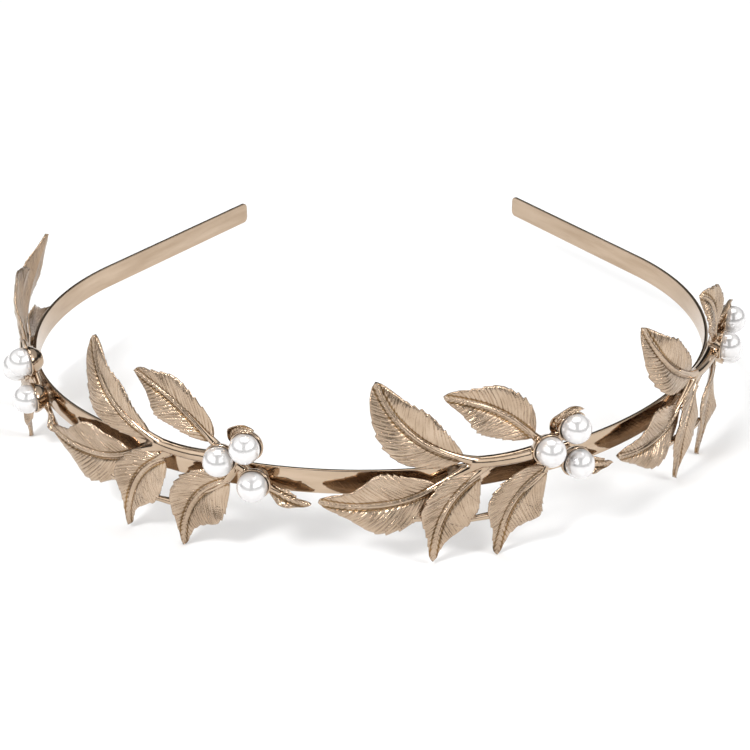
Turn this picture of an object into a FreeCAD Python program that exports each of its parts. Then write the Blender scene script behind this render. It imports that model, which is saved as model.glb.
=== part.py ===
import FreeCAD, Part
import math
import os
from FreeCAD import Vector

# Bridal tiara: a spring-steel headband strip with four leaf-spray castings of one pattern
# soldered to its outside, each casting carrying three half-drilled pearls on pegs.
# Millimetres. Origin: centre of the crown arc, in the strip's mid-plane. +Z is up,
# the crown of the band faces -Y and the two open ends point towards +Y.
# "s" is the arc length along the strip's centreline from the crown's foremost point,
# positive towards +X.

# ---- driving dimensions -------------------------------------------------------------
STRIP_WIDTH = 5.2
STRIP_THICKNESS = 0.8
STRIP_END_CORNER = 1.2
CROWN_RADIUS = 78.8
CROWN_TURN_RIGHT = 64.7      # degrees of crown arc to the right of the foremost point
CROWN_TURN_LEFT = 45.2
SIDE_RADIUS_RIGHT = 59.3
SIDE_TURN_RIGHT = 59.9
SIDE_RADIUS_LEFT = 57.6
SIDE_TURN_LEFT = 81.0
ARM_LENGTH_RIGHT = 48.3      # straight run behind the side arc
ARM_LENGTH_LEFT = 51.4

PEARL_RADIUS = 3.0
PEARL_BORE_RADIUS = 0.50
PEARL_BORE_DEPTH = 3.4
PEG_RADIUS = 0.45
PEG_LENGTH = 2.9             # from the cup's floor into the pearl
PEARL_OUT = 5.3              # pearl centre, outwards from the strip's centreline

CUP_BACK_OUT = 1.0           # the casting's back, outwards from the strip's centreline
CUP_RIM_OUT = 3.7
CUP_BACK_RADIUS = 1.5
CUP_RIM_RADIUS = 2.45
WEB_RADIUS = 0.55
LEAF_THICKNESS = 0.8
OUTLINE_POWER = 0.62          # below 1 makes a blade open quickly from its ends
BEAK_START = 0.55             # share of the blade's length where its tip starts to narrow
BEAK_RUN = 0.31               # share over which it narrows
LEAF_END_HALF_WIDTH = 0.45
BRACT_THICKNESS = 0.7
BLADE_SECTIONS = (0.0, 0.12, 0.3, 0.5, 0.7, 0.88, 1.0)

# Where each casting's first pearl sits along the strip. A casting follows the strip's bend.
SPRAY_PLACES = {
    "left_side": -84.5,
    "left_front": -26.2,
    "right_front": 35.5,
    "right_side": 96.0,
}

# Casting layout as (along, up) millimetres: along is 0 at the first pearl and grows
# towards +s, up is 0 at the strip's mid-plane. A third number is the distance outwards.
PEARLS = {"a": (0.0, 4.8), "b": (5.2, 8.5), "c": (6.4, 0.4)}
# name: base, bend, tip of the midrib; widest half-widths; lift of base, middle and tip;
# where the outline is broadest and how much its tip narrows
LEAVES = {
    "end": ((-21.2, -0.3), (-29.9, -5.6), (-43.4, -2.3), (5.9, 6.9), (2.0, 2.6, 3.7), (1.02, 0.4)),
    "upper_far": ((-16.2, 5.0), (-28.4, 9.6), (-32.8, 21.0), (5.6, 5.4), (2.0, 2.8, -1.0),
                  (1.04, 0.15)),
    "upper_near": ((-2.4, 7.4), (-9.6, 16.6), (-20.0, 17.9), (5.2, 5.2), (2.2, 2.6, 0.6),
                   (0.96, 0.25)),
    "lower_far": ((-13.0, 0.9), (-21.6, -3.2), (-22.1, -16.7), (5.8, 4.9), (2.0, 2.8, 3.0),
                  (0.88, 0.5)),
    "lower_near": ((0.8, -0.8), (-8.6, -3.8), (-9.3, -17.4), (6.5, 5.2), (2.2, 2.8, 2.5),
                   (0.86, 0.5)),
}
# One leaf stands up more steeply than its fellows: shift of its tip (along, up)
TIP_SHIFTS = {("right_side", "upper_near"): (10.0, 2.2)}
BRACTS = {
    "top": ((2.2, 6.9), (1.3, 12.4), (6.9, 12.3), (1.4, 1.1), (1.6, 2.8, 4.6), (0.9, 0.0)),
    "tail": ((8.2, -0.8), (12.2, -3.6), (16.6, -3.8), (1.7, 1.9), (1.5, 1.9, 2.6), (0.8, 0.2)),
}
LEAF_CUP = 1.1               # how far a blade's edges stand out beyond its midrib
BRACT_CUP = 0.9
# Stems: path points (along, up, out) and the radius at each end
STEMS = {
    "main": (((1.5, 4.2, 2.3), (-7.0, 3.6, 2.1), (-14.3, 3.9, 2.0)), 1.3, 1.1),
    "end": (((-13.0, 3.8, 2.0), (-18.0, 1.5, 2.0), (-24.0, -1.8, 2.0)), 1.1, 0.75),
    "upper_far": (((-13.6, 3.8, 2.0), (-16.0, 4.6, 2.0), (-19.5, 6.8, 1.9)), 0.9, 0.7),
    "lower_far": (((-11.8, 3.6, 2.0), (-13.6, 1.2, 2.0), (-17.0, -2.4, 1.9)), 0.85, 0.65),
    "upper_near": (((0.2, 4.8, 2.2), (-2.4, 7.4, 2.1), (-5.6, 10.8, 1.9)), 0.95, 0.7),
    "lower_near": (((1.6, 3.6, 2.2), (0.4, -0.4, 2.1), (-3.2, -4.0, 2.0)), 0.9, 0.65),
    "pearl_b": (((0.0, 4.4, 2.1), (2.8, 6.4, 2.0), (5.3, 8.0, 2.0)), 1.0, 1.0),
    "pearl_c": (((0.4, 4.2, 2.1), (3.4, 2.6, 2.0), (6.3, 0.4, 2.0)), 1.0, 1.0),
    "tail": (((6.3, 0.2, 1.9), (8.4, -0.9, 1.9), (10.4, -2.2, 1.9)), 0.9, 0.6),
}
# Cast bridges that tie neighbouring lower leaves together
WEBS = {
    "end_to_lower_far": ((-25.6, -6.6, 2.6), (-22.6, -6.6, 2.6)),
    "far_to_near": ((-15.2, -8.4, 2.6), (-11.2, -8.4, 2.6)),
}
SOLDER_SPOTS = {"pearl": (6.4, 0.2, 1.5), "stem": (-17.6, 1.6, 1.1)}
SOLDER_FROM_OUT, SOLDER_TO_OUT = -0.1, 1.6


# ---- the strip's centreline ---------------------------------------------------------
def side(turns_and_radii, arm, sign):
    """Stretches of one side from the foremost point: (length, radius or None)."""
    stretches = [(r * math.radians(turn), r) for r, turn in turns_and_radii]
    return stretches + [(arm, None)], sign


RIGHT = side(((CROWN_RADIUS, CROWN_TURN_RIGHT), (SIDE_RADIUS_RIGHT, SIDE_TURN_RIGHT)),
             ARM_LENGTH_RIGHT, 1)
LEFT = side(((CROWN_RADIUS, CROWN_TURN_LEFT), (SIDE_RADIUS_LEFT, SIDE_TURN_LEFT)),
            ARM_LENGTH_LEFT, -1)


def strip_point(s):
    """Centreline point and the heading of +s there, in radians from +X."""
    stretches, sign = RIGHT if s >= 0 else LEFT
    left_over, x, y, heading = abs(s), 0.0, -CROWN_RADIUS, 0.0
    for length, radius in stretches:
        step = min(left_over, length)
        if radius is None:
            x += step * math.cos(heading)
            y += step * math.sin(heading)
        else:
            turned = heading + step / radius
            x += radius * (math.sin(turned) - math.sin(heading))
            y += radius * (math.cos(heading) - math.cos(turned))
            heading = turned
        left_over -= step
        if left_over <= 0:
            break
    return sign * x, y, sign * heading


def offset_point(s, out):
    """A point of the centreline moved outwards, in the strip's mid-plane."""
    x, y, heading = strip_point(s)
    return Vector(x + out * math.sin(heading), y - out * math.cos(heading), 0)


def stretch_ends():
    """Arc lengths where the strip's curvature changes, from the left end to the right."""
    right, left, total = [], [], 0.0
    for length, _ in RIGHT[0]:
        total += length
        right.append(total)
    total = 0.0
    for length, _ in LEFT[0]:
        total += length
        left.append(-total)
    return left[::-1] + [0.0] + right


def strip_line(out):
    """Edges of the strip's outline at one offset from the centreline."""
    ends = stretch_ends()
    edges = []
    for a, b in zip(ends, ends[1:]):
        p, q = offset_point(a, out), offset_point(b, out)
        straight = a == ends[0] or b == ends[-1]
        middle = offset_point((a + b) / 2, out)
        edges.append(Part.LineSegment(p, q).toShape() if straight
                     else Part.Arc(p, middle, q).toShape())
    return edges


def make_strip():
    """The headband: flat strip standing on edge, bent to the crown, sides and arms."""
    half = STRIP_THICKNESS / 2
    ends = stretch_ends()
    outer, inner = strip_line(half), strip_line(-half)
    caps = [Part.LineSegment(offset_point(s, half), offset_point(s, -half)).toShape()
            for s in (ends[0], ends[-1])]
    outline = Part.Wire(Part.__sortEdges__(outer + inner + caps))
    strip = Part.Face(outline).extrude(Vector(0, 0, STRIP_WIDTH))
    strip.translate(Vector(0, 0, -STRIP_WIDTH / 2))
    tips = [offset_point(s, 0) for s in (ends[0], ends[-1])]
    corners = [e for e in strip.Edges
               if abs(e.Length - STRIP_THICKNESS) < 1e-3
               and min((e.CenterOfMass - t).Length for t in tips) < STRIP_WIDTH]
    return strip.makeFillet(STRIP_END_CORNER, corners)


# ---- one casting --------------------------------------------------------------------
def cast_point(s, along, up, out):
    """A point of the casting whose first pearl sits at s."""
    return offset_point(s + along, out) + Vector(0, 0, up)


def bezier(points, t):
    """A point of the quadratic curve through base and tip, and its direction."""
    (ax, ay), (bx, by), (cx, cy) = points
    x = (1 - t) ** 2 * ax + 2 * t * (1 - t) * bx + t * t * cx
    y = (1 - t) ** 2 * ay + 2 * t * (1 - t) * by + t * t * cy
    dx = 2 * (1 - t) * (bx - ax) + 2 * t * (cx - bx)
    dy = 2 * (1 - t) * (by - ay) + 2 * t * (cy - by)
    size = math.hypot(dx, dy)
    return x, y, dx / size, dy / size


def lift_at(lifts, t):
    """Height outwards of a midrib, eased from its base through its middle to its tip."""
    base, middle, tip = lifts
    return (1 - t) ** 2 * base + 2 * t * (1 - t) * middle + t * t * tip


def blade_half_width(widest, t, peak, beak):
    """Half-width of a blade: quick to open, broadest near the middle, narrowing to a beak."""
    narrowing = 1 - beak * min(max((t - BEAK_START) / BEAK_RUN, 0), 1)
    return max(LEAF_END_HALF_WIDTH, widest * narrowing * math.sin(math.pi * t ** peak) ** OUTLINE_POWER)


def blade(s, spec, cup, thickness):
    """A cupped leaf: one sheet across the midrib from base to tip, given a thickness."""
    base, bend, tip, (left, right), lifts, (peak, beak) = spec
    face_rows, back_rows = [], []
    for t in BLADE_SECTIONS:
        x, y, dx, dy = bezier((base, bend, tip), t)
        out = lift_at(lifts, t)
        open_here = math.sin(math.pi * min(max(t, 0.08), 0.92))
        face, back = [], []
        for share in (-1.0, -0.5, 0.0, 0.5, 1.0):
            widest = left if share > 0 else right
            across = share * blade_half_width(widest, t, peak, beak)
            rise = out + cup * share ** 2 * open_here
            px, py = x - dy * across, y + dx * across
            face.append(cast_point(s, px, py, rise + thickness / 2))
            back.append(cast_point(s, px, py, rise - thickness / 2))
        face_rows.append(face)
        back_rows.append(back)
    sheets = []
    for rows in (face_rows, back_rows):
        surface = Part.BSplineSurface()
        surface.interpolate(rows)
        sheets.append(surface.toShape())
    rims = [Part.makeRuledSurface(p, q) for p, q in zip(sheets[0].Edges, sheets[1].Edges)]
    shell = Part.Shell(sheets + rims)
    shell.sewShape()
    solid = Part.Solid(shell)
    if solid.Volume < 0:
        solid.reverse()
    return solid


def rod(s, path, first_radius, last_radius):
    """A round stem through its path points, tapering from one end to the other."""
    points = [cast_point(s, *p) for p in path]
    curve = Part.BSplineCurve()
    curve.interpolate(points)
    first, last = curve.FirstParameter, curve.LastParameter
    rings = []
    for share in (0.0, 0.5, 1.0):
        u = first + share * (last - first)
        radius = first_radius + share * (last_radius - first_radius)
        circle = Part.Circle(curve.value(u), curve.tangent(u)[0], radius)
        rings.append(Part.Wire(circle.toShape()))
    return Part.makeLoft(rings, True, False)


def outward(s):
    """Unit vector outwards from the strip."""
    return offset_point(s, 1) - offset_point(s, 0)


def cup_and_peg(s, along, up):
    """The conical cup a pearl rests in, with the peg that its bore slides over."""
    axis = outward(s + along)
    back = cast_point(s, along, up, CUP_BACK_OUT)
    cup = Part.makeCone(CUP_BACK_RADIUS, CUP_RIM_RADIUS, CUP_RIM_OUT - CUP_BACK_OUT, back, axis)
    floor = cast_point(s, along, up, CUP_BACK_OUT + 0.2)
    return cup, Part.makeCylinder(PEG_RADIUS, PEG_LENGTH + 1.0, floor, axis)


def leaf_specs(place_name):
    """The leaves of one casting, with any leaf of it that is bent up."""
    for name, (base, bend, tip, *rest) in LEAVES.items():
        along, up = TIP_SHIFTS.get((place_name, name), (0, 0))
        bend = (bend[0] + along / 2, bend[1] + up / 2)
        yield base, bend, (tip[0] + along, tip[1] + up), *rest


def make_casting(place_name, s):
    """One leaf spray: stems, five leaves, two bracts, two bridges, three cups, as cast."""
    blades = [blade(s, spec, LEAF_CUP, LEAF_THICKNESS) for spec in leaf_specs(place_name)]
    blades += [blade(s, spec, BRACT_CUP, BRACT_THICKNESS) for spec in BRACTS.values()]
    rods = [rod(s, path, first, last) for path, first, last in STEMS.values()]
    for a, b in WEBS.values():
        middle = ((a[0] + b[0]) / 2, a[1], a[2] + 0.2)
        rods.append(rod(s, (a, middle, b), WEB_RADIUS, WEB_RADIUS))
    cups, pegs = zip(*[cup_and_peg(s, *place) for place in PEARLS.values()])
    body = rods[0].multiFuse(rods[1:] + blades + list(cups))
    for place in PEARLS.values():
        body = body.cut(Part.makeSphere(PEARL_RADIUS, cast_point(s, *place, PEARL_OUT)))
    body = max(body.Solids, key=lambda solid: solid.Volume).multiFuse(list(pegs))
    return max(body.Solids, key=lambda solid: solid.Volume)


def make_pearl(s, along, up):
    """A round pearl, half drilled from its seat side."""
    axis = outward(s + along)
    centre = cast_point(s, along, up, PEARL_OUT)
    mouth = centre - axis * (PEARL_RADIUS + 0.5)
    bore = Part.makeCylinder(PEARL_BORE_RADIUS, PEARL_BORE_DEPTH + 0.5, mouth, axis)
    return Part.makeSphere(PEARL_RADIUS, centre).cut(bore)


def make_solder(s, along, up, radius):
    """A blob of solder between the strip's outer face and the casting's back."""
    foot = cast_point(s, along, up, SOLDER_FROM_OUT)
    height = SOLDER_TO_OUT - SOLDER_FROM_OUT
    return Part.makeCylinder(radius, height, foot, outward(s + along))


def save(name, shape):
    """Writes one sub-part and prints its size."""
    solids = shape.Solids
    print(f"{name}: {len(solids)} solid(s), {shape.Volume:.1f} mm3, valid {shape.isValid()}")
    (solids[0] if len(solids) == 1 else shape).exportStep(f"parts/{name}.step")


def main():
    os.makedirs("parts", exist_ok=True)
    strip = make_strip()
    save("headband_strip", strip)
    for place_name, s in SPRAY_PLACES.items():
        spray = make_casting(place_name, s)
        save(f"{place_name}_leaf_casting", spray)
        for letter, place in PEARLS.items():
            save(f"{place_name}_pearl_{letter}", make_pearl(s, *place))
        for spot, place in SOLDER_SPOTS.items():
            save(f"{place_name}_solder_{spot}", make_solder(s, *place).cut(strip).cut(spray))


main()
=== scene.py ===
import math

import bpy
import numpy as np
from mathutils import Matrix, Vector


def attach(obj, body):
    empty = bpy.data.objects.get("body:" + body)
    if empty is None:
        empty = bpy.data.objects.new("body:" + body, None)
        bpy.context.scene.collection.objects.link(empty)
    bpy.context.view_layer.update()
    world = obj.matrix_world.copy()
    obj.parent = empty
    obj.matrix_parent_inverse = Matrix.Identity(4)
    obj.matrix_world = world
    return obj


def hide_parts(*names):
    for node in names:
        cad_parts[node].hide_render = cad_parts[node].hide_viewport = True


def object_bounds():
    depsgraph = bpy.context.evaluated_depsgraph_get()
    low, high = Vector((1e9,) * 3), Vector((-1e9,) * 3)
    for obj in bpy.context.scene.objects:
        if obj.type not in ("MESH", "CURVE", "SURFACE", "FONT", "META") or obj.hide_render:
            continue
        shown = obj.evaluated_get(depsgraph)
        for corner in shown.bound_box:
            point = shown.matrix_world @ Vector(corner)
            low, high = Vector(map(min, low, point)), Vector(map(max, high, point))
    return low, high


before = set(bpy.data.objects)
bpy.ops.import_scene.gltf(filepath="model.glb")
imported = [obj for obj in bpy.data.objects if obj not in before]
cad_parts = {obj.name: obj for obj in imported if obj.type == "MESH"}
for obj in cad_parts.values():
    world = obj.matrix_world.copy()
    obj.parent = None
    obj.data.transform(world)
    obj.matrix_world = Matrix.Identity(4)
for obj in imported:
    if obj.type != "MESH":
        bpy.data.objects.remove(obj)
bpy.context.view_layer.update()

# Bridal tiara. Everything is laid out in millimetres and turned into metres when a mesh
# is made. "s" is the arc length along the strip's centreline from its foremost point.
MM = 0.001

# ---- the strip ----------------------------------------------------------------------
STRIP_WIDTH = 5.2
STRIP_THICKNESS = 0.8
STRIP_END_CORNER = 1.2
STRIP_EDGE_ROUND = 0.22
CROWN_RADIUS = 78.8
RIGHT_SIDE = ((78.8, 64.7), (59.3, 59.9))      # (radius, degrees) from the front backwards
LEFT_SIDE = ((78.8, 45.2), (57.6, 81.0))
RIGHT_ARM = 48.3
LEFT_ARM = 51.4

# ---- the castings -------------------------------------------------------------------
SPRAY_PLACES = {"left_side": -84.5, "left_front": -26.2, "right_front": 35.5, "right_side": 96.0}
PEARL_RADIUS = 3.0
PEARL_OUT = 5.3
PEARLS = {"a": (0.0, 4.8), "b": (5.2, 8.5), "c": (6.4, 0.4)}
SOLDER_SPOTS = {"pearl": (6.4, 0.2, 1.5), "stem": (-17.6, 1.6, 1.1)}

# name: base, bend and tip of the midrib; half-widths; lift of base, middle, tip; where
# the outline is broadest and how much the tip narrows; teeth per side; a random seed
LEAVES = {
    "end": ((-21.2, -0.3), (-29.9, -5.6), (-43.4, -2.3),
            (5.9, 6.9), (2.0, 2.6, 3.7), (1.02, 0.4), 11, 1),
    "upper_far": ((-16.2, 5.0), (-28.4, 9.6), (-32.8, 21.0),
                  (5.6, 5.4), (2.0, 2.8, -1.0), (1.04, 0.15), 13, 2),
    "upper_near": ((-2.4, 7.4), (-9.6, 16.6), (-20.0, 17.9),
                   (5.2, 5.2), (2.2, 2.6, 0.6), (0.96, 0.25), 13, 3),
    "lower_far": ((-13.0, 0.9), (-21.6, -3.2), (-22.1, -16.7),
                  (5.8, 4.9), (2.0, 2.8, 3.0), (0.88, 0.5), 10, 4),
    "lower_near": ((0.8, -0.8), (-8.6, -3.8), (-9.3, -17.4),
                   (6.5, 5.2), (2.2, 2.8, 2.5), (0.86, 0.5), 10, 5),
}
# One leaf stands up more steeply than its fellows: shift of its tip (along, up)
TIP_SHIFTS = {("right_side", "upper_near"): (10.0, 2.2)}
BRACTS = {
    "top": ((2.2, 6.9), (1.3, 12.4), (6.9, 12.3), (1.4, 1.1), (1.6, 2.8, 4.6), (0.9, 0.0), 0, 6),
    "tail": ((8.2, -0.8), (12.2, -3.6), (16.8, -3.8), (1.7, 1.9), (1.5, 1.9, 2.6), (0.8, 0.2), 2, 7),
}
STEMS = {
    "main": (((1.5, 4.3, 2.3), (-7.0, 3.5, 2.1), (-15.0, 4.0, 2.0)), 1.4, 1.2),
    "end": (((-12.6, 3.7, 2.0), (-18.0, 1.5, 2.1), (-26.2, -2.7, 2.4)), 1.15, 0.4),
    "upper_far": (((-12.8, 3.8, 2.0), (-17.4, 5.6, 2.2), (-22.8, 8.9, 2.5)), 1.05, 0.4),
    "lower_far": (((-10.6, 3.5, 2.0), (-14.0, 0.9, 2.1), (-19.2, -3.5, 2.7)), 1.0, 0.4),
    "upper_near": (((0.2, 4.9, 2.2), (-2.8, 8.2, 2.4), (-6.8, 12.5, 2.6)), 1.0, 0.4),
    "lower_near": (((2.0, 3.6, 2.2), (0.4, -0.7, 2.3), (-4.2, -4.2, 2.7)), 1.0, 0.4),
    "pearl_b": (((0.0, 4.4, 2.1), (2.8, 6.4, 2.0), (5.3, 8.0, 2.0)), 1.0, 1.0),
    "pearl_c": (((0.4, 4.2, 2.1), (3.4, 2.6, 2.0), (6.3, 0.4, 2.0)), 1.0, 1.0),
    "tail": (((6.3, 0.2, 1.9), (9.0, -1.3, 1.9), (13.0, -3.2, 2.1)), 0.9, 0.45),
    "web_end": (((-26.0, -6.8, 2.8), (-24.2, -6.9, 2.9), (-22.2, -6.8, 2.8)), 0.75, 0.6),
    "web_near": (((-15.4, -8.4, 2.8), (-13.2, -8.2, 2.9), (-11.0, -8.2, 2.8)), 0.6, 0.75),
}
LEAF_ROWS, LEAF_COLUMNS = 190, 52
LEAF_THICKNESS = 0.8
LEAF_CUP = 1.0
LEAF_PILLOW = 0.5
VEIN_SLANT = 0.95             # how far a vein runs towards the tip per mm away from the rib
VEIN_STEP = 0.95              # between one side vein and the next
RIB_GUTTER = 0.74             # from the midrib to the groove beside it
TOOTH_DEPTH = 0.6
CAST_VOXEL = 0.14

# ---- the studio, in metres ----------------------------------------------------------
FLOOR_HALF = 4.0
FLOOR_GAP = 0.00005           # keeps the floor off the lowest leaf tips


# ---- the strip's centreline and the casting's frame ---------------------------------
def strip_point(s):
    """Centreline point in mm and the heading of +s there, in radians from +X."""
    arcs, sign = (RIGHT_SIDE, 1) if s >= 0 else (LEFT_SIDE, -1)
    rest, x, y, heading = abs(s), 0.0, -CROWN_RADIUS, 0.0
    for radius, turn in arcs:
        step = min(rest, radius * math.radians(turn))
        turned = heading + step / radius
        x += radius * (math.sin(turned) - math.sin(heading))
        y += radius * (math.cos(heading) - math.cos(turned))
        heading = turned
        rest -= step
    x += rest * math.cos(heading)
    y += rest * math.sin(heading)
    return sign * x, y, sign * heading


def strip_ends():
    """Arc length of the left and the right end."""
    left, right = (sum(r * math.radians(turn) for r, turn in arcs) for arcs in (LEFT_SIDE, RIGHT_SIDE))
    return -(left + LEFT_ARM), right + RIGHT_ARM


def strip_table(step=0.25):
    """The centreline sampled end to end: arc lengths and rows of x, y, heading."""
    left, right = strip_ends()
    at = np.linspace(left, right, int((right - left) / step))
    return at, np.array([strip_point(s) for s in at])


STRIP_AT, STRIP_LINE = strip_table()


def on_strip(points, s0):
    """Bends a flat layout of (along, -out, up) round the strip, its zero at s0."""
    x, y, heading = (np.interp(s0 + points[:, 0], STRIP_AT, column) for column in STRIP_LINE.T)
    out = -points[:, 1]
    return np.stack([x + out * np.sin(heading), y - out * np.cos(heading), points[:, 2]], axis=1)


def flat(along, up, out):
    """Arrays of the casting's (along, up, out) as points of its flat layout."""
    along, up, out = np.broadcast_arrays(*(np.asarray(v, float) for v in (along, up, out)))
    return np.stack([along, -out, up], axis=-1)


# ---- mesh helpers -------------------------------------------------------------------
def ripple(x, step, rng):
    """Smooth random ups and downs from -1 to 1 along x, about one per step."""
    table = rng.uniform(-1, 1, 128)
    place = x / step + 32
    whole = np.floor(place).astype(int)
    share = place - whole
    share = share * share * (3 - 2 * share)
    return table[whole % 128] * (1 - share) + table[(whole + 1) % 128] * share


class Shell:
    """Vertices in mm with faces, a UV pair and a groove value for each vertex: how much painted shade it
    gets.
    """

    def __init__(self, points, faces, uv=None, groove_shade=None, material=0):
        self.points = np.asarray(points, float).reshape(-1, 3)
        self.faces = faces
        count = len(self.points)
        self.uv = np.zeros((count, 2)) if uv is None else np.asarray(uv, float).reshape(-1, 2)
        self.groove_shade = np.zeros(count) if groove_shade is None else np.asarray(groove_shade, float).ravel()
        self.material = material

    def bent(self, s0):
        """This shell, laid out flat, bent round the strip at s0."""
        return Shell(on_strip(self.points, s0), self.faces, self.uv, self.groove_shade, self.material)


def ring_faces(rings, size, close_ends=True):
    """Quads between closed rings of the same size, with a fan to a last point at each end."""
    faces = []
    for i in range(rings - 1):
        for j in range(size):
            k = (j + 1) % size
            faces.append((i * size + j, i * size + k, (i + 1) * size + k, (i + 1) * size + j))
    if close_ends:
        first, last = rings * size, rings * size + 1
        top = (rings - 1) * size
        for j in range(size):
            k = (j + 1) % size
            faces.append((first, k, j))
            faces.append((last, top + j, top + k))
    return faces


def build(name, shells, materials, scale=MM):
    """One mesh object from shells."""
    points, faces, uv, groove_shade, slots, start = [], [], [], [], [], 0
    for shell in shells:
        points.append(shell.points)
        uv.append(shell.uv)
        groove_shade.append(shell.groove_shade)
        faces += [tuple(v + start for v in face) for face in shell.faces]
        slots += [shell.material] * len(shell.faces)
        start += len(shell.points)
    points, uv, groove_shade = np.concatenate(points), np.concatenate(uv), np.concatenate(groove_shade)
    mesh = bpy.data.meshes.new(name)
    mesh.from_pydata((points * scale).tolist(), [], faces)
    mesh.polygons.foreach_set("use_smooth", [True] * len(mesh.polygons))
    mesh.polygons.foreach_set("material_index", slots)
    corner = np.empty(len(mesh.loops), dtype=np.int32)
    mesh.loops.foreach_get("vertex_index", corner)
    layer = mesh.uv_layers.new(name="relief")
    layer.data.foreach_set("uv", uv[corner].ravel().astype(np.float32))
    # The groove attribute tells the leaf material how much painted shade each vertex gets.
    mesh.attributes.new("groove_shade", "FLOAT", "POINT").data.foreach_set("value", groove_shade.astype(np.float32))
    for material in materials:
        mesh.materials.append(material)
    mesh.update()
    obj = bpy.data.objects.new(name, mesh)
    bpy.context.scene.collection.objects.link(obj)
    return obj


def smoothstep(low, high, x):
    share = np.clip((x - low) / (high - low), 0, 1)
    return share * share * (3 - 2 * share)


# ---- leaves -------------------------------------------------------------------------
def leaf(spec, cup=LEAF_CUP, pillow=LEAF_PILLOW, thickness=LEAF_THICKNESS,
         rows=LEAF_ROWS, columns=LEAF_COLUMNS):
    """One cast leaf: a raised rib, pillowed halves, slanting veins and a toothed edge."""
    base, bend, tip, (left, right), lifts, (peak, beak), teeth, seed = spec
    rng = np.random.default_rng(seed)
    base, bend, tip = (np.array(p, float) for p in (base, bend, tip))
    t = np.linspace(0, 1, rows)[:, None]
    rib = (1 - t) ** 2 * base + 2 * t * (1 - t) * bend + t * t * tip
    run = 2 * (1 - t) * (bend - base) + 2 * t * (tip - bend)
    run /= np.linalg.norm(run, axis=1, keepdims=True)
    side = np.stack([-run[:, 1], run[:, 0]], axis=1)
    length = np.sum(np.linalg.norm(np.diff(rib, axis=0), axis=1))

    share = np.linspace(-1, 1, columns + 1)[None, :]
    open_here = np.sin(np.pi * np.clip(t, 0.06, 0.94))
    outline = np.sin(np.pi * np.clip(t, 1e-4, 1 - 1e-4) ** peak) ** 0.62
    outline = outline * (1 - beak * smoothstep(0.55, 0.86, t))
    finger = smoothstep(0.68, 0.86, t) * np.sqrt(1 - np.clip((t - 0.9) / 0.1, 0, 1) ** 2)
    outline = np.maximum(outline, 0.19 * finger)
    half = np.zeros((rows, columns + 1))
    for sign, widest in ((1, left), (-1, right)):
        phase = t * teeth + rng.uniform(0, 1) + 0.25 * np.sin(2 * np.pi * (1.7 * t + rng.uniform(0, 1)))
        tooth = (phase % 1.0) ** 1.4
        swell = np.sin(2 * np.pi * (2.3 * t + rng.uniform(0, 1)))
        depth = (TOOTH_DEPTH if teeth else 0.0) * (0.6 + 0.4 * swell)
        edge = widest * outline + depth * (tooth - 0.5) * open_here
        half = np.where(share * sign > 0, edge, half)
    half = np.where(share == 0, outline * left, half)
    half = np.maximum(half, 0.25 * (1 - smoothstep(0.97, 1.0, t)) + 0.02)
    across = share * half
    far = np.abs(share)

    left_half = np.broadcast_to(share > 0, across.shape)
    flow = t * length - VEIN_SLANT * np.abs(across) - 0.02 * across ** 2
    drift = np.where(left_half, ripple(flow, 2.4, rng), ripple(flow, 2.4, rng))
    fine = np.where(left_half, ripple(flow, 0.3, rng), ripple(flow, 0.3, rng))
    cut = (1 - np.abs(np.sin(np.pi * (flow / VEIN_STEP + 0.45 * drift)))) ** 2
    uneven = 0.6 + 0.4 * ripple(across + 0.4 * flow, 2.2, rng)
    vein = 1 - cut
    vein_reach = smoothstep(0.05, 0.2, far) * (0.55 + 0.45 * (1 - smoothstep(0.85, 1.0, far)))
    rib_fade = 1 - 0.65 * smoothstep(0.6, 1.0, t)
    wave = 0.45 * np.sin(2 * np.pi * (1.8 * t + rng.uniform(0, 1)) + 1.5 * np.sign(share))

    low, mid, high = lifts
    lift = (1 - t) ** 2 * low + 2 * t * (1 - t) * mid + t * t * high
    sheet = lift + cup * open_here * far ** 2 + pillow * open_here * np.sin(np.pi * far ** 0.9)
    sheet = sheet + wave * far ** 2 * open_here
    rim = np.sqrt(np.clip(1 - far ** 7, 0, 1))
    gutter = np.exp(-((np.abs(across) - RIB_GUTTER) / 0.24) ** 2)
    relief = (0.40 * vein + 0.12 * fine) * uneven * vein_reach * open_here
    relief = relief + 0.6 * np.exp(-(across / (0.36 * rib_fade)) ** 2) * rib_fade
    relief = relief - 0.2 * gutter * open_here
    front = sheet + (thickness / 2 + relief - 0.15) * rim
    back = sheet - (thickness / 2 + 0.05 * vein) * rim

    x = rib[:, :1] + side[:, :1] * across
    y = rib[:, 1:] + side[:, 1:] * across
    face = flat(x, y, front)
    rear = flat(x, y, back)[:, -2:0:-1]
    rings = np.concatenate([face, rear], axis=1)
    ends = np.stack([flat(*rib[0], lift[0, 0]), flat(*rib[-1], lift[-1, 0])])
    # Painted shade mask: dark in the vein cuts, most in patches, and along the gutter beside the rib;
    # the whole back gets an even 0.6 of it.
    groove_shade = np.clip(cut * vein_reach * (0.35 + 0.8 * uneven) + 0.9 * gutter, 0, 1)
    groove_shade = np.concatenate([groove_shade, np.full_like(groove_shade, 0.6)[:, -2:0:-1]], axis=1)
    pair = np.stack([np.broadcast_to(flow, across.shape), across], axis=-1)
    wrap = lambda a: np.concatenate([a, a[:, -2:0:-1]], axis=1)
    size = rings.shape[1]
    return Shell(
        np.concatenate([rings.reshape(-1, 3), ends]),
        ring_faces(rows, size),
        np.concatenate([wrap(pair).reshape(-1, 2), [[0, 0], [length, 0]]]),
        np.concatenate([groove_shade.ravel(), [0, 0]]),
    )


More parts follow.
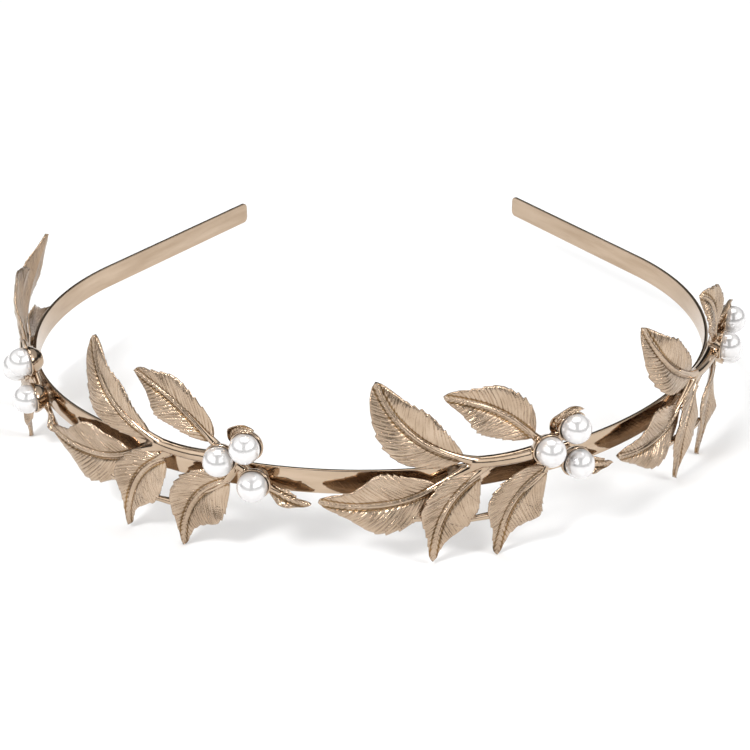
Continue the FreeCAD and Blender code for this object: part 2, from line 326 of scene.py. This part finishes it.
# ---- stems and cups, cast as one skin ------------------------------------------------
def tube(path, first, last, rings=24, around=20):
    """A round stem through three path points, tapering from one radius to the other."""
    a, b, c = (np.array(p, float) for p in path)
    control = 2 * b - (a + c) / 2
    t = np.linspace(0, 1, rings)[:, None]
    line = (1 - t) ** 2 * a + 2 * t * (1 - t) * control + t * t * c
    run = 2 * (1 - t) * (control - a) + 2 * t * (c - control)
    run /= np.linalg.norm(run, axis=1, keepdims=True)
    aside = np.stack([-run[:, 1], run[:, 0], np.zeros(rings)], axis=1)
    aside /= np.linalg.norm(aside, axis=1, keepdims=True)
    upright = np.cross(run, aside)
    radius = first + (last - first) * smoothstep(0, 1, t)
    turn = np.linspace(0, 2 * np.pi, around, endpoint=False)
    rings_at = [line + radius * (np.cos(w) * aside + np.sin(w) * upright) for w in turn]
    points = np.stack(rings_at, axis=1)
    solid = flat(points[..., 0], points[..., 1], points[..., 2])
    ends = flat(*np.stack([line[0], line[-1]]).T)
    return Shell(np.concatenate([solid.reshape(-1, 3), ends]), ring_faces(rings, around))


def lathe(profile, centre, around=48):
    """A turned shape: (radius, out) pairs about an outward axis through (along, up)."""
    turn = np.linspace(0, 2 * np.pi, around, endpoint=False)[None, :]
    radius, out = (np.array(v, float)[:, None] for v in zip(*profile))
    along = centre[0] + radius * np.cos(turn)
    up = centre[1] + radius * np.sin(turn)
    rings = flat(along, up, np.broadcast_to(out, along.shape))
    ends = [flat(*centre, profile[0][1]), flat(*centre, profile[-1][1])]
    return Shell(np.concatenate([rings.reshape(-1, 3), ends]), ring_faces(len(profile), around))


def cup_profile():
    """A bowl with a thick rolled rim that hugs the lower part of a pearl."""
    seat = [PEARL_OUT - PEARL_RADIUS * math.cos(w) - 0.02 for w in np.linspace(0.15, 1.2, 8)]
    wall = [PEARL_RADIUS * math.sin(w) + 0.02 for w in np.linspace(0.15, 1.2, 8)]
    outside = [(0.3, 1.0), (1.5, 1.05), (2.1, 1.7), (2.7, 2.6), (3.1, 3.5), (3.2, 4.1)]
    return outside + [(3.1, 4.3)] + list(zip(wall[::-1], seat[::-1]))


def cast_skin():
    """Stems, bridges and cups melted into one smooth skin."""
    parts = [tube(*spec) for spec in STEMS.values()]
    parts += [lathe(cup_profile(), place) for place in PEARLS.values()]
    parts += [lathe([(0.9, 1.2), (1.4, 2.0), (0.5, 2.5)], (-13.6, 3.4))]
    rough = build("rough_stems", parts, [], scale=1.0)
    remesh = rough.modifiers.new("melt", "REMESH")
    remesh.mode = "VOXEL"
    remesh.voxel_size = CAST_VOXEL
    smooth = rough.modifiers.new("flow", "SMOOTH")
    smooth.factor = 0.5
    smooth.iterations = 6
    done = bpy.data.meshes.new_from_object(rough.evaluated_get(bpy.context.evaluated_depsgraph_get()))
    points = np.empty(len(done.vertices) * 3)
    done.vertices.foreach_get("co", points)
    faces = [tuple(p.vertices) for p in done.polygons]
    bpy.data.objects.remove(rough)
    bpy.data.meshes.remove(done)
    points = points.reshape(-1, 3)
    return Shell(points, faces, points[:, [0, 2]], material=1)


# ---- pearls, solder, strip ----------------------------------------------------------
def pearl_shell(around=64, rows=48):
    """A round pearl with a drilled hole at its seat, a touch out of round."""
    hole = 0.5
    start = math.asin(hole / PEARL_RADIUS)
    w = np.linspace(start, math.pi - 1e-3, rows)
    radius = PEARL_RADIUS * (1 - 0.004 * np.sin(2 * w) ** 2)
    profile = [(0.02, -0.4), (hole * 0.9, -0.45), (hole * 0.95, -PEARL_RADIUS * 0.95)]
    profile += [(r * math.sin(a), -r * math.cos(a)) for r, a in zip(radius, w)]
    turn = np.linspace(0, 2 * np.pi, around, endpoint=False)[None, :]
    r, out = (np.array(v, float)[:, None] for v in zip(*profile))
    depth = -np.broadcast_to(out, (len(r), around))
    rings = np.stack([r * np.cos(turn), depth, r * np.sin(turn)], axis=-1)
    ends = [(0, -profile[0][1], 0), (0, -profile[-1][1], 0)]
    return Shell(np.concatenate([rings.reshape(-1, 3), ends]), ring_faces(len(profile), around))


def solder_shell(along, up, radius, seed):
    """A blob that has flowed out at the strip and up at the casting."""
    rng = np.random.default_rng(seed)
    profile = [(radius * 0.4, 0.36), (radius * 1.25, 0.38), (radius * 1.18, 0.5), (radius * 0.98, 0.68),
               (radius * 0.95, 0.85), (radius * 1.02, 1.05), (radius * 0.4, 1.25)]
    shell = lathe(profile, (along, up), around=28)
    shell.points += rng.normal(0, 0.012, shell.points.shape)
    return shell


def strip_shells():
    """The strip swept along its line: polished outside and edges, satin inside."""
    left, right = strip_ends()
    near = STRIP_END_CORNER * (1 - np.cos(np.linspace(0, math.pi / 2, 9)))
    middle = np.linspace(left + STRIP_END_CORNER, right - STRIP_END_CORNER, 700)[1:-1]
    stations = np.concatenate([left + near, middle, (right - near)[::-1]])
    half_t, r = STRIP_THICKNESS / 2, STRIP_EDGE_ROUND
    corner = np.linspace(0, math.pi / 2, 5)
    section = []
    for sx, sy in ((1, 1), (-1, 1), (-1, -1), (1, -1)):
        arc = [(sx * (half_t - r + r * math.cos(w)), sy, -r + r * math.sin(w)) for w in corner]
        section += arc if sx * sy > 0 else arc[::-1]
    section = np.array(section)
    rings, uv = [], []
    for s in stations:
        x, y, heading = strip_point(s)
        to_end = min(s - left, right - s)
        short = max(STRIP_END_CORNER - to_end, 0)
        corner_rise = math.sqrt(max(STRIP_END_CORNER ** 2 - short ** 2, 0))
        half_h = STRIP_WIDTH / 2 - (STRIP_END_CORNER - corner_rise)
        out = section[:, 0]
        up = section[:, 1] * half_h + section[:, 1] * section[:, 2]
        rings.append(np.stack([x + out * math.sin(heading), y - out * math.cos(heading), up], axis=1))
        uv.append(np.stack([np.full(len(out), s), up + 8 * (out < 0)], axis=1))
    rings, uv = np.array(rings), np.array(uv)
    size = len(section)
    ends = [rings[0].mean(axis=0), rings[-1].mean(axis=0)]
    points = np.concatenate([rings.reshape(-1, 3), ends])
    pairs = np.concatenate([uv.reshape(-1, 2), uv[0, :1], uv[-1, :1]])
    faces = ring_faces(len(rings), size)
    inner = [all(v < len(rings) * size and section[v % size, 0] < 0 for v in f) for f in faces]
    return (Shell(points, faces, pairs), inner)


# ---- materials ----------------------------------------------------------------------
class Maker:
    """Short forms for building one node material."""

    def __init__(self, name):
        self.material = bpy.data.materials.new(name)
        self.material.use_nodes = True
        self.tree = self.material.node_tree
        self.shader = self.tree.nodes["Principled BSDF"]

    def node(self, kind, **values):
        made = self.tree.nodes.new(kind)
        for key, value in values.items():
            if hasattr(made, key):
                setattr(made, key, value)
            else:
                made.inputs[key.replace("_", " ")].default_value = value
        return made

    def link(self, source, target):
        self.tree.links.new(source, target)

    def noise(self, vector, scale, detail=4.0, roughness=0.55):
        made = self.node("ShaderNodeTexNoise")
        made.inputs["Scale"].default_value = scale
        made.inputs["Detail"].default_value = detail
        made.inputs["Roughness"].default_value = roughness
        self.link(vector, made.inputs["Vector"])
        return made.outputs["Fac"]

    def stretched(self, vector, scale):
        made = self.node("ShaderNodeMapping")
        made.inputs["Scale"].default_value = scale
        self.link(vector, made.inputs["Vector"])
        return made.outputs["Vector"]

    def span(self, value, low, high, to_low, to_high):
        made = self.node("ShaderNodeMapRange")
        reach = {"From Min": low, "From Max": high, "To Min": to_low, "To Max": to_high}
        for key, number in reach.items():
            made.inputs[key].default_value = number
        self.link(value, made.inputs["Value"])
        return made.outputs["Result"]

    def ramp(self, value, stops):
        made = self.node("ShaderNodeValToRGB")
        elements = made.color_ramp.elements
        elements[0].position, elements[0].color = stops[0][0], (*stops[0][1], 1)
        elements[1].position, elements[1].color = stops[-1][0], (*stops[-1][1], 1)
        for place, colour in stops[1:-1]:
            elements.new(place).color = (*colour, 1)
        self.link(value, made.inputs["Fac"])
        return made.outputs["Color"]

    def mix(self, factor, a, b):
        made = self.node("ShaderNodeMix", data_type="RGBA")
        self.link(factor, made.inputs[0])
        self.link(a, made.inputs[6])
        self.link(b, made.inputs[7])
        return made.outputs[2]

    def math(self, operation, a, b):
        made = self.node("ShaderNodeMath", operation=operation)
        for socket, value in zip(made.inputs, (a, b)):
            if isinstance(value, (int, float)):
                socket.default_value = value
            else:
                self.link(value, socket)
        return made.outputs[0]

    def bump(self, heights):
        """A chain of bumps: (height, strength, distance in mm)."""
        normal = None
        for height, strength, distance in heights:
            made = self.node("ShaderNodeBump")
            made.inputs["Strength"].default_value = strength
            made.inputs["Distance"].default_value = distance * MM
            self.link(height, made.inputs["Height"])
            if normal is not None:
                self.link(normal, made.inputs["Normal"])
            normal = made.outputs["Normal"]
        self.link(normal, self.shader.inputs["Normal"])


GOLD_LIGHT = (0.56, 0.435, 0.325)
GOLD = (0.43, 0.32, 0.225)
# Painted shade: the next two colours are the near-black and the warm brown laid into the leaves' dips
# and grooves; the near-black one also darkens the solder's hollows.
GOLD_SHADE = (0.08, 0.045, 0.02)
GOLD_WARM_SHADE = (0.34, 0.19, 0.07)


def leaf_metal():
    """Bright plating over a finely combed casting: thin lines run with the veins, with painted shade in
    the comb's dips, the vein cuts and the gutter beside the rib.
    """
    m = Maker("cast_gold_leaf")
    uv = m.node("ShaderNodeUVMap", uv_map="relief").outputs["UV"]
    place = m.node("ShaderNodeTexCoord").outputs["Object"]
    groove_shade = m.node("ShaderNodeAttribute", attribute_name="groove_shade").outputs["Fac"]
    comb = m.noise(m.stretched(uv, (3.4, 0.24, 1)), 1.0, 5)
    grain = m.noise(place, 2600, 4)
    patch = m.noise(place, 160, 3)
    tone = m.ramp(patch, [(0.3, GOLD), (0.7, GOLD_LIGHT)])
    # Painted shade: a dark colour, near-black to warm brown by patch, mixed into the dips of the combed
    # lines and then into the grooves.
    shade_tone = m.ramp(patch, [(0.3, GOLD_SHADE), (0.8, GOLD_WARM_SHADE)])
    hairline_shade = m.span(comb, 0.44, 0.34, 0.0, 0.6)
    wear_and_shade = m.mix(hairline_shade, tone, shade_tone)
    # The groove attribute sets how much painted shade each spot of the leaf gets.
    m.link(m.mix(m.span(groove_shade, 0.35, 0.9, 0.0, 0.95), wear_and_shade, shade_tone), m.shader.inputs["Base Color"])
    m.link(m.math("ADD", m.span(comb, 0.3, 0.7, 0.05, 0.12), m.span(groove_shade, 0.2, 1.0, 0.0, 0.08)),
           m.shader.inputs["Roughness"])
    m.shader.inputs["Metallic"].default_value = 1.0
    m.bump([(comb, 0.8, 0.2), (grain, 0.15, 0.02)])
    return m.material


def stem_metal():
    """Smooth bright plating with the faint unevenness of a casting."""
    m = Maker("cast_gold_stem")
    place = m.node("ShaderNodeTexCoord").outputs["Object"]
    soft = m.noise(place, 420, 3)
    grain = m.noise(place, 3200, 3)
    patch = m.noise(place, 150, 3)
    m.link(m.ramp(patch, [(0.3, GOLD), (0.7, GOLD_LIGHT)]), m.shader.inputs["Base Color"])
    m.link(m.span(soft, 0.3, 0.7, 0.07, 0.14), m.shader.inputs["Roughness"])
    m.shader.inputs["Metallic"].default_value = 1.0
    m.bump([(soft, 0.35, 0.12), (grain, 0.15, 0.02)])
    return m.material


def strip_metal(name, rough_low, rough_high, scratch):
    """Rolled strip, drawn lengthwise: long hairlines and a few worn patches."""
    m = Maker(name)
    uv = m.node("ShaderNodeUVMap", uv_map="relief").outputs["UV"]
    hair = m.noise(m.stretched(uv, (0.12, 9.0, 1)), 1.0, 6, 0.65)
    wear = m.noise(m.stretched(uv, (0.06, 0.5, 1)), 1.0, 4)
    pits = m.noise(m.stretched(uv, (3.0, 3.0, 1)), 1.0, 2)
    m.link(m.ramp(wear, [(0.3, GOLD), (0.72, GOLD_LIGHT)]), m.shader.inputs["Base Color"])
    drawn = m.span(hair, 0.25, 0.75, rough_low, rough_high)
    wear_and_shade = m.span(wear, 0.5, 0.8, 0.0, 0.05)
    m.link(m.math("ADD", drawn, wear_and_shade), m.shader.inputs["Roughness"])
    m.shader.inputs["Metallic"].default_value = 1.0
    m.bump([(hair, scratch, 0.02), (pits, scratch * 0.5, 0.02)])
    return m.material


def solder_metal():
    """Plated-over solder: satin, lumpy, with painted shade in the hollows of its lumps."""
    m = Maker("solder_satin")
    place = m.node("ShaderNodeTexCoord").outputs["Object"]
    lump = m.noise(place, 900, 4)
    fine = m.noise(place, 4200, 3)
    # Painted shade: the colour runs to near-black where the lumps dip.
    m.link(m.ramp(lump, [(0.3, GOLD_SHADE), (0.7, GOLD)]), m.shader.inputs["Base Color"])
    m.link(m.span(fine, 0.3, 0.7, 0.28, 0.45), m.shader.inputs["Roughness"])
    m.shader.inputs["Metallic"].default_value = 1.0
    m.bump([(lump, 0.5, 0.1), (fine, 0.3, 0.02)])
    return m.material


def pearl_coat():
    """Pearl lacquer: white, softly clouded with rosy grey, under a clear top coat."""
    m = Maker("pearl_coat")
    place = m.node("ShaderNodeTexCoord").outputs["Object"]
    cloud = m.noise(place, 380, 4)
    fine = m.noise(place, 5200, 3)
    m.link(m.ramp(cloud, [(0.3, (0.75, 0.73, 0.73)), (0.7, (0.84, 0.83, 0.82))]),
           m.shader.inputs["Base Color"])
    m.link(m.span(cloud, 0.3, 0.7, 0.10, 0.15), m.shader.inputs["Roughness"])
    m.shader.inputs["Metallic"].default_value = 0.4
    m.shader.inputs["Coat Weight"].default_value = 0.8
    m.shader.inputs["Coat Roughness"].default_value = 0.06
    m.shader.inputs["IOR"].default_value = 1.6
    m.bump([(cloud, 0.06, 0.05), (fine, 0.05, 0.01)])
    return m.material


def floor_paint():
    """Pale matt studio floor."""
    m = Maker("studio_floor")
    place = m.node("ShaderNodeTexCoord").outputs["Object"]
    cloud = m.noise(place, 3, 3)
    m.link(m.ramp(cloud, [(0.3, (0.90, 0.90, 0.90)), (0.7, (0.93, 0.93, 0.93))]),
           m.shader.inputs["Base Color"])
    m.shader.inputs["Roughness"].default_value = 0.8
    return m.material


# ---- build --------------------------------------------------------------------------
def settle(piece, node):
    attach(piece, "root")
    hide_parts(node)


def make_strip():
    shell, inner = strip_shells()
    polished = strip_metal("band_gold_polished", 0.05, 0.11, 0.10)
    satin = strip_metal("band_gold_satin", 0.16, 0.26, 0.35)
    strip = build("headband_strip_look", [shell], [polished, satin])
    strip.data.polygons.foreach_set("material_index", [int(flag) for flag in inner])
    strip.data.update()
    settle(strip, "headband_strip")


def spray_shells(place_name):
    """The leaves and bracts of one casting, laid out flat."""
    shells = []
    for name, spec in LEAVES.items():
        base, bend, tip, *rest = spec
        shift = TIP_SHIFTS.get((place_name, name), (0, 0))
        bend = (bend[0] + shift[0] / 2, bend[1] + shift[1] / 2)
        tip = (tip[0] + shift[0], tip[1] + shift[1])
        shells.append(leaf((base, bend, tip, *rest)))
    for spec in BRACTS.values():
        shells.append(leaf(spec, cup=1.0, pillow=0.15, thickness=0.6, rows=60, columns=28))
    return shells


def make_sprays():
    skin = cast_skin()
    metals = [leaf_metal(), stem_metal()]
    blobs = {spot: solder_shell(*place, seed) for seed, (spot, place) in enumerate(SOLDER_SPOTS.items())}
    solder, coat, bead = solder_metal(), pearl_coat(), pearl_shell()
    for place_name, s in SPRAY_PLACES.items():
        node = f"{place_name}_leaf_casting"
        shells = [shell.bent(s) for shell in [*spray_shells(place_name), skin]]
        settle(build(f"{node}_look", shells, metals), node)
        for spot, blob in blobs.items():
            node = f"{place_name}_solder_{spot}"
            settle(build(f"{node}_look", [blob.bent(s)], [solder]), node)
        for letter, (along, up) in PEARLS.items():
            node = f"{place_name}_pearl_{letter}"
            pearl = build(f"{node}_look", [bead], [coat])
            x, y, heading = strip_point(s + along)
            centre = (x + PEARL_OUT * math.sin(heading), y - PEARL_OUT * math.cos(heading), up)
            turned = Matrix.Rotation(heading, 4, "Z")
            pearl.matrix_world = Matrix.Translation(Vector(centre) * MM) @ turned
            settle(pearl, node)


def make_floor():
    low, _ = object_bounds()
    half, level = FLOOR_HALF, low.z - FLOOR_GAP
    mesh = bpy.data.meshes.new("studio_floor")
    corners = [(-half, -half), (half, -half), (half, half), (-half, half)]
    mesh.from_pydata([(x, y, level) for x, y in corners], [], [(0, 1, 2, 3)])
    mesh.materials.append(floor_paint())
    floor = bpy.data.objects.new("studio_floor", mesh)
    bpy.context.scene.collection.objects.link(floor)


def make_light(name, place, target, size, power):
    data = bpy.data.lights.new(name, "AREA")
    data.shape = "DISK"
    data.size = size
    data.energy = power
    lamp = bpy.data.objects.new(name, data)
    bpy.context.scene.collection.objects.link(lamp)
    lamp.location = place
    lamp.rotation_euler = (Vector(target) - Vector(place)).to_track_quat("-Z", "Y").to_euler()


def make_world():
    """A white light tent: pale all round the horizon, a dim upright strip and a dim low band."""
    world = bpy.data.worlds.new("tent")
    bpy.context.scene.world = world
    world.use_nodes = True
    tree = world.node_tree
    sky = tree.nodes["Background"]
    coord = tree.nodes.new("ShaderNodeTexCoord")
    split = tree.nodes.new("ShaderNodeSeparateXYZ")
    tree.links.new(coord.outputs["Generated"], split.inputs[0])

    def ramp(source, low, high, stops):
        reach = tree.nodes.new("ShaderNodeMapRange")
        reach.inputs["From Min"].default_value = low
        reach.inputs["From Max"].default_value = high
        tree.links.new(source, reach.inputs["Value"])
        made = tree.nodes.new("ShaderNodeValToRGB")
        elements = made.color_ramp.elements
        elements[0].position, elements[0].color = stops[0][0], (*(stops[0][1],) * 3, 1)
        elements[1].position, elements[1].color = stops[-1][0], (*(stops[-1][1],) * 3, 1)
        for place, grey in stops[1:-1]:
            elements.new(place).color = (grey, grey, grey, 1)
        tree.links.new(reach.outputs[0], made.inputs["Fac"])
        return made.outputs["Color"]

    def combine(operation, a, b):
        made = tree.nodes.new("ShaderNodeMix")
        made.data_type = "RGBA"
        made.blend_type = operation
        made.inputs[0].default_value = 1.0
        tree.links.new(a, made.inputs[6])
        tree.links.new(b, made.inputs[7])
        return made.outputs[2]

    height = ramp(split.outputs["Z"], 0, 1,
                  [(0.0, 0.1), (0.28, 0.08), (0.4, 1.5), (0.78, 1.6), (0.9, 0.4)])
    across = ramp(split.outputs["X"], -1, 1,
                  [(0.0, 1.0), (0.35, 1.0), (0.43, 0.05), (0.57, 0.05), (0.65, 1.0)])
    depth = ramp(split.outputs["Y"], -1, 1, [(0.0, 1.0), (0.5, 1.0), (0.62, 0.5), (1.0, 0.3)])
    horizon = ramp(split.outputs["Z"], 0, 1, [(0.0, 0.9), (0.05, 0.9), (0.1, 0.0)])
    tent = combine("MULTIPLY", combine("MULTIPLY", height, across), depth)
    tree.links.new(combine("LIGHTEN", tent, horizon), sky.inputs["Color"])
    sky.inputs["Strength"].default_value = 1.0


def make_camera():
    data = bpy.data.cameras.new("camera")
    data.sensor_width = 36.0
    data.lens = 86.4
    data.dof.use_dof = False
    camera = bpy.data.objects.new("camera", data)
    bpy.context.scene.collection.objects.link(camera)
    camera.location = Vector((2.6, -378.3, 175.7)) * MM
    camera.rotation_euler = (math.radians(63), 0, 0)
    bpy.context.scene.camera = camera


make_camera()
make_strip()
make_sprays()
make_world()
make_light("key", (-0.35, -0.45, 0.55), (0, -0.03, 0), 0.16, 2.4)
make_light("fill", (0.55, -0.30, 0.40), (0, -0.03, 0), 0.20, 1.2)
make_light("top", (0.0, 0.6, 2.2), (0, 0.4, 0), 2.0, 22.0)
make_floor()
bpy.context.scene.view_settings.view_transform = "Standard"
